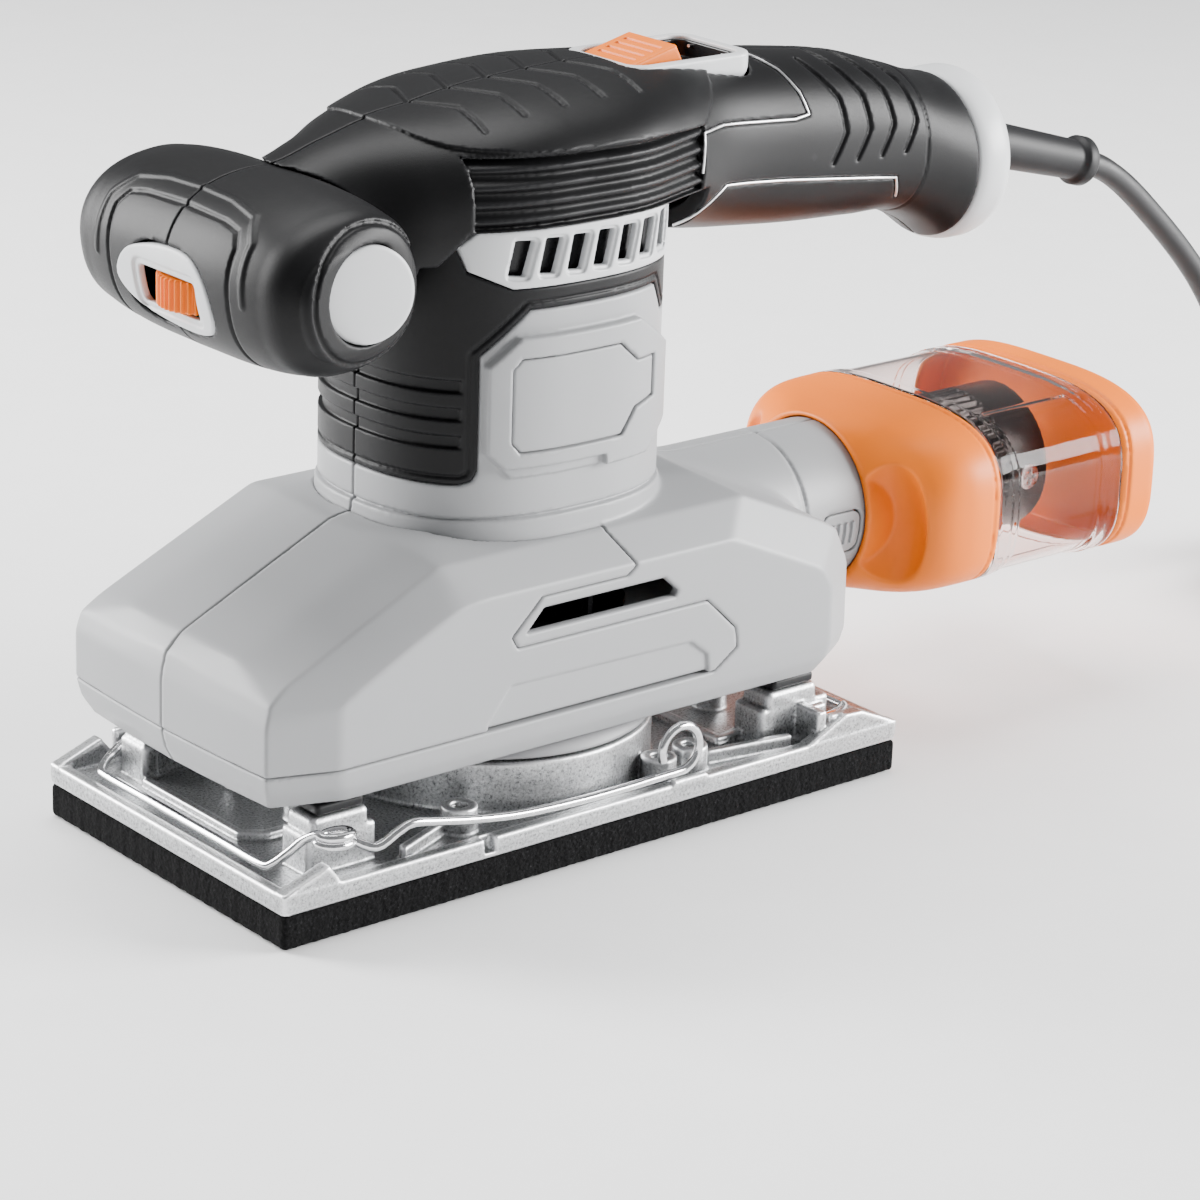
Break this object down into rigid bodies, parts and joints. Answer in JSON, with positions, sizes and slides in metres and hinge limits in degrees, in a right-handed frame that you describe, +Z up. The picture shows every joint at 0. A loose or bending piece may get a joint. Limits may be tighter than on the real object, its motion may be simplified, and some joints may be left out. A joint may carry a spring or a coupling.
{
  "type": "orbital sander",
  "caption": "Finishing sander with a sheet clamp pad, motor column, rear handle, front grip with speed dial, clear dust box and mains lead.",
  "frame": {"origin": "centre of the sanding face, the underside of the foam pad", "axes": "+X towards the rear handle, dust box and cord; -X towards the speed dial; +Z up; -Y the left side"},
  "size_m": [0.4577, 0.1498, 0.1802],
  "materials": {
    "housing_grey": "satin moulded",
    "black_shell": "fine grained",
    "pale_trim": "satin",
    "orange_plastic": "satin",
    "clear_plastic": "clear",
    "cast_alloy": "as cast",
    "pad_cover": "satin",
    "foam": "open cell foam",
    "rubber": "matte",
    "cord_sheath": "semi matte",
    "chrome_wire": "plated",
    "steel": "turned",
    "motor_steel": "laminated",
    "copper": "lacquered winding",
    "brass": "drawn",
    "inner_plastic": "moulded",
    "circuit_board": "lacquered"
  },
  "bodies": {
    "housing": {"housing_left": "housing_grey", "housing_right": "housing_grey", "front_cover_left": "housing_grey", "front_cover_right": "housing_grey", "column_trim_left": "black_shell", "column_trim_right": "black_shell", "vent_grille_left": "pale_trim", "vent_grille_right": "pale_trim", "top_shell_left": "black_shell", "top_shell_right": "black_shell", "front_grip_left": "black_shell", "front_grip_right": "black_shell", "side_disc_left": "pale_trim", "side_disc_right": "pale_trim", "badge_plate_left": "housing_grey", "badge_plate_right": "housing_grey", "brush_left": "brass", "brush_right": "brass", "dial_bezel": "pale_trim", "speed_board": "circuit_board", "switch_bezel": "pale_trim", "switch_module": "inner_plastic", "rear_collar": "pale_trim", "cord_boot": "rubber", "cord": "cord_sheath", "cord_coil": "cord_sheath", "cord_tail": "cord_sheath", "cord_tie": "rubber", "plug": "cord_sheath", "motor_stator": "motor_steel", "lower_bearing": "steel", "upper_bearing": "steel", "bearing_holder": "inner_plastic", "housing_screw_1": "steel", "housing_screw_2": "steel"},
    "rotor": {"armature": "copper", "commutator": "copper", "rotor_shaft": "steel", "cooling_fan": "inner_plastic", "counterweight": "steel"},
    "legs": {"leg_front_left": "rubber", "leg_front_right": "rubber", "leg_rear_left": "rubber", "leg_rear_right": "rubber"},
    "pad": {"base_plate": "cast_alloy", "foam_pad": "foam", "bearing_cover": "pad_cover", "pad_bearing": "steel"},
    "clamp_front": {"front_clamp": "chrome_wire"},
    "clamp_rear": {"rear_clamp": "chrome_wire"},
    "dial": {"speed_dial": "orange_plastic"},
    "switch": {"switch_button": "orange_plastic"},
    "dust_box": {"dust_box_adapter": "orange_plastic", "dust_box_canister": "clear_plastic", "filter_tube": "inner_plastic", "filter_screw": "steel"},
    "end_cap": {"dust_box_end_cap": "orange_plastic"},
    "latch_left": {"latch_button_left": "housing_grey"},
    "latch_right": {"latch_button_right": "housing_grey"}
  },
  "joints": [
    {"name": "motor_spin", "type": "hinge", "parent": "housing", "child": "rotor", "pos_m": [0, 0, 0.1], "axis": [0, 0, 1], "continuous": true},
    {"name": "orbit_x", "type": "slide", "parent": "housing", "child": "legs", "axis": [1, 0, 0], "range_m": [-0.001, 0.001], "stiffness_N_per_m": 6000},
    {"name": "orbit_y", "type": "slide", "parent": "legs", "child": "pad", "axis": [0, 1, 0], "range_m": [-0.001, 0.001], "stiffness_N_per_m": 6000},
    {"name": "front_clamp_lift", "type": "hinge", "parent": "pad", "child": "clamp_front", "pos_m": [-0.0869, 0, 0.0142], "axis": [0, -1, 0], "range_deg": [0, 20]},
    {"name": "rear_clamp_lift", "type": "hinge", "parent": "pad", "child": "clamp_rear", "pos_m": [0.0869, 0, 0.0142], "axis": [0, 1, 0], "range_deg": [0, 20]},
    {"name": "dial_turn", "type": "hinge", "parent": "housing", "child": "dial", "pos_m": [-0.0812, -0.0008, 0.139], "axis": [0, 0, 1], "range_deg": [0, 270]},
    {"name": "switch_slide", "type": "slide", "parent": "housing", "child": "switch", "axis": [1, 0, 0], "range_m": [0, 0.012]},
    {"name": "dust_box_pull", "type": "slide", "parent": "housing", "child": "dust_box", "axis": [1, 0, 0], "range_m": [0, 0.036]},
    {"name": "end_cap_pull", "type": "slide", "parent": "dust_box", "child": "end_cap", "axis": [1, 0, 0], "range_m": [0, 0.018]},
    {"name": "latch_left_press", "type": "slide", "parent": "housing", "child": "latch_left", "axis": [0, 1, 0], "range_m": [0, 0.0015], "stiffness_N_per_m": 400},
    {"name": "latch_right_press", "type": "slide", "parent": "housing", "child": "latch_right", "axis": [0, -1, 0], "range_m": [0, 0.0015], "stiffness_N_per_m": 400}
  ]
}
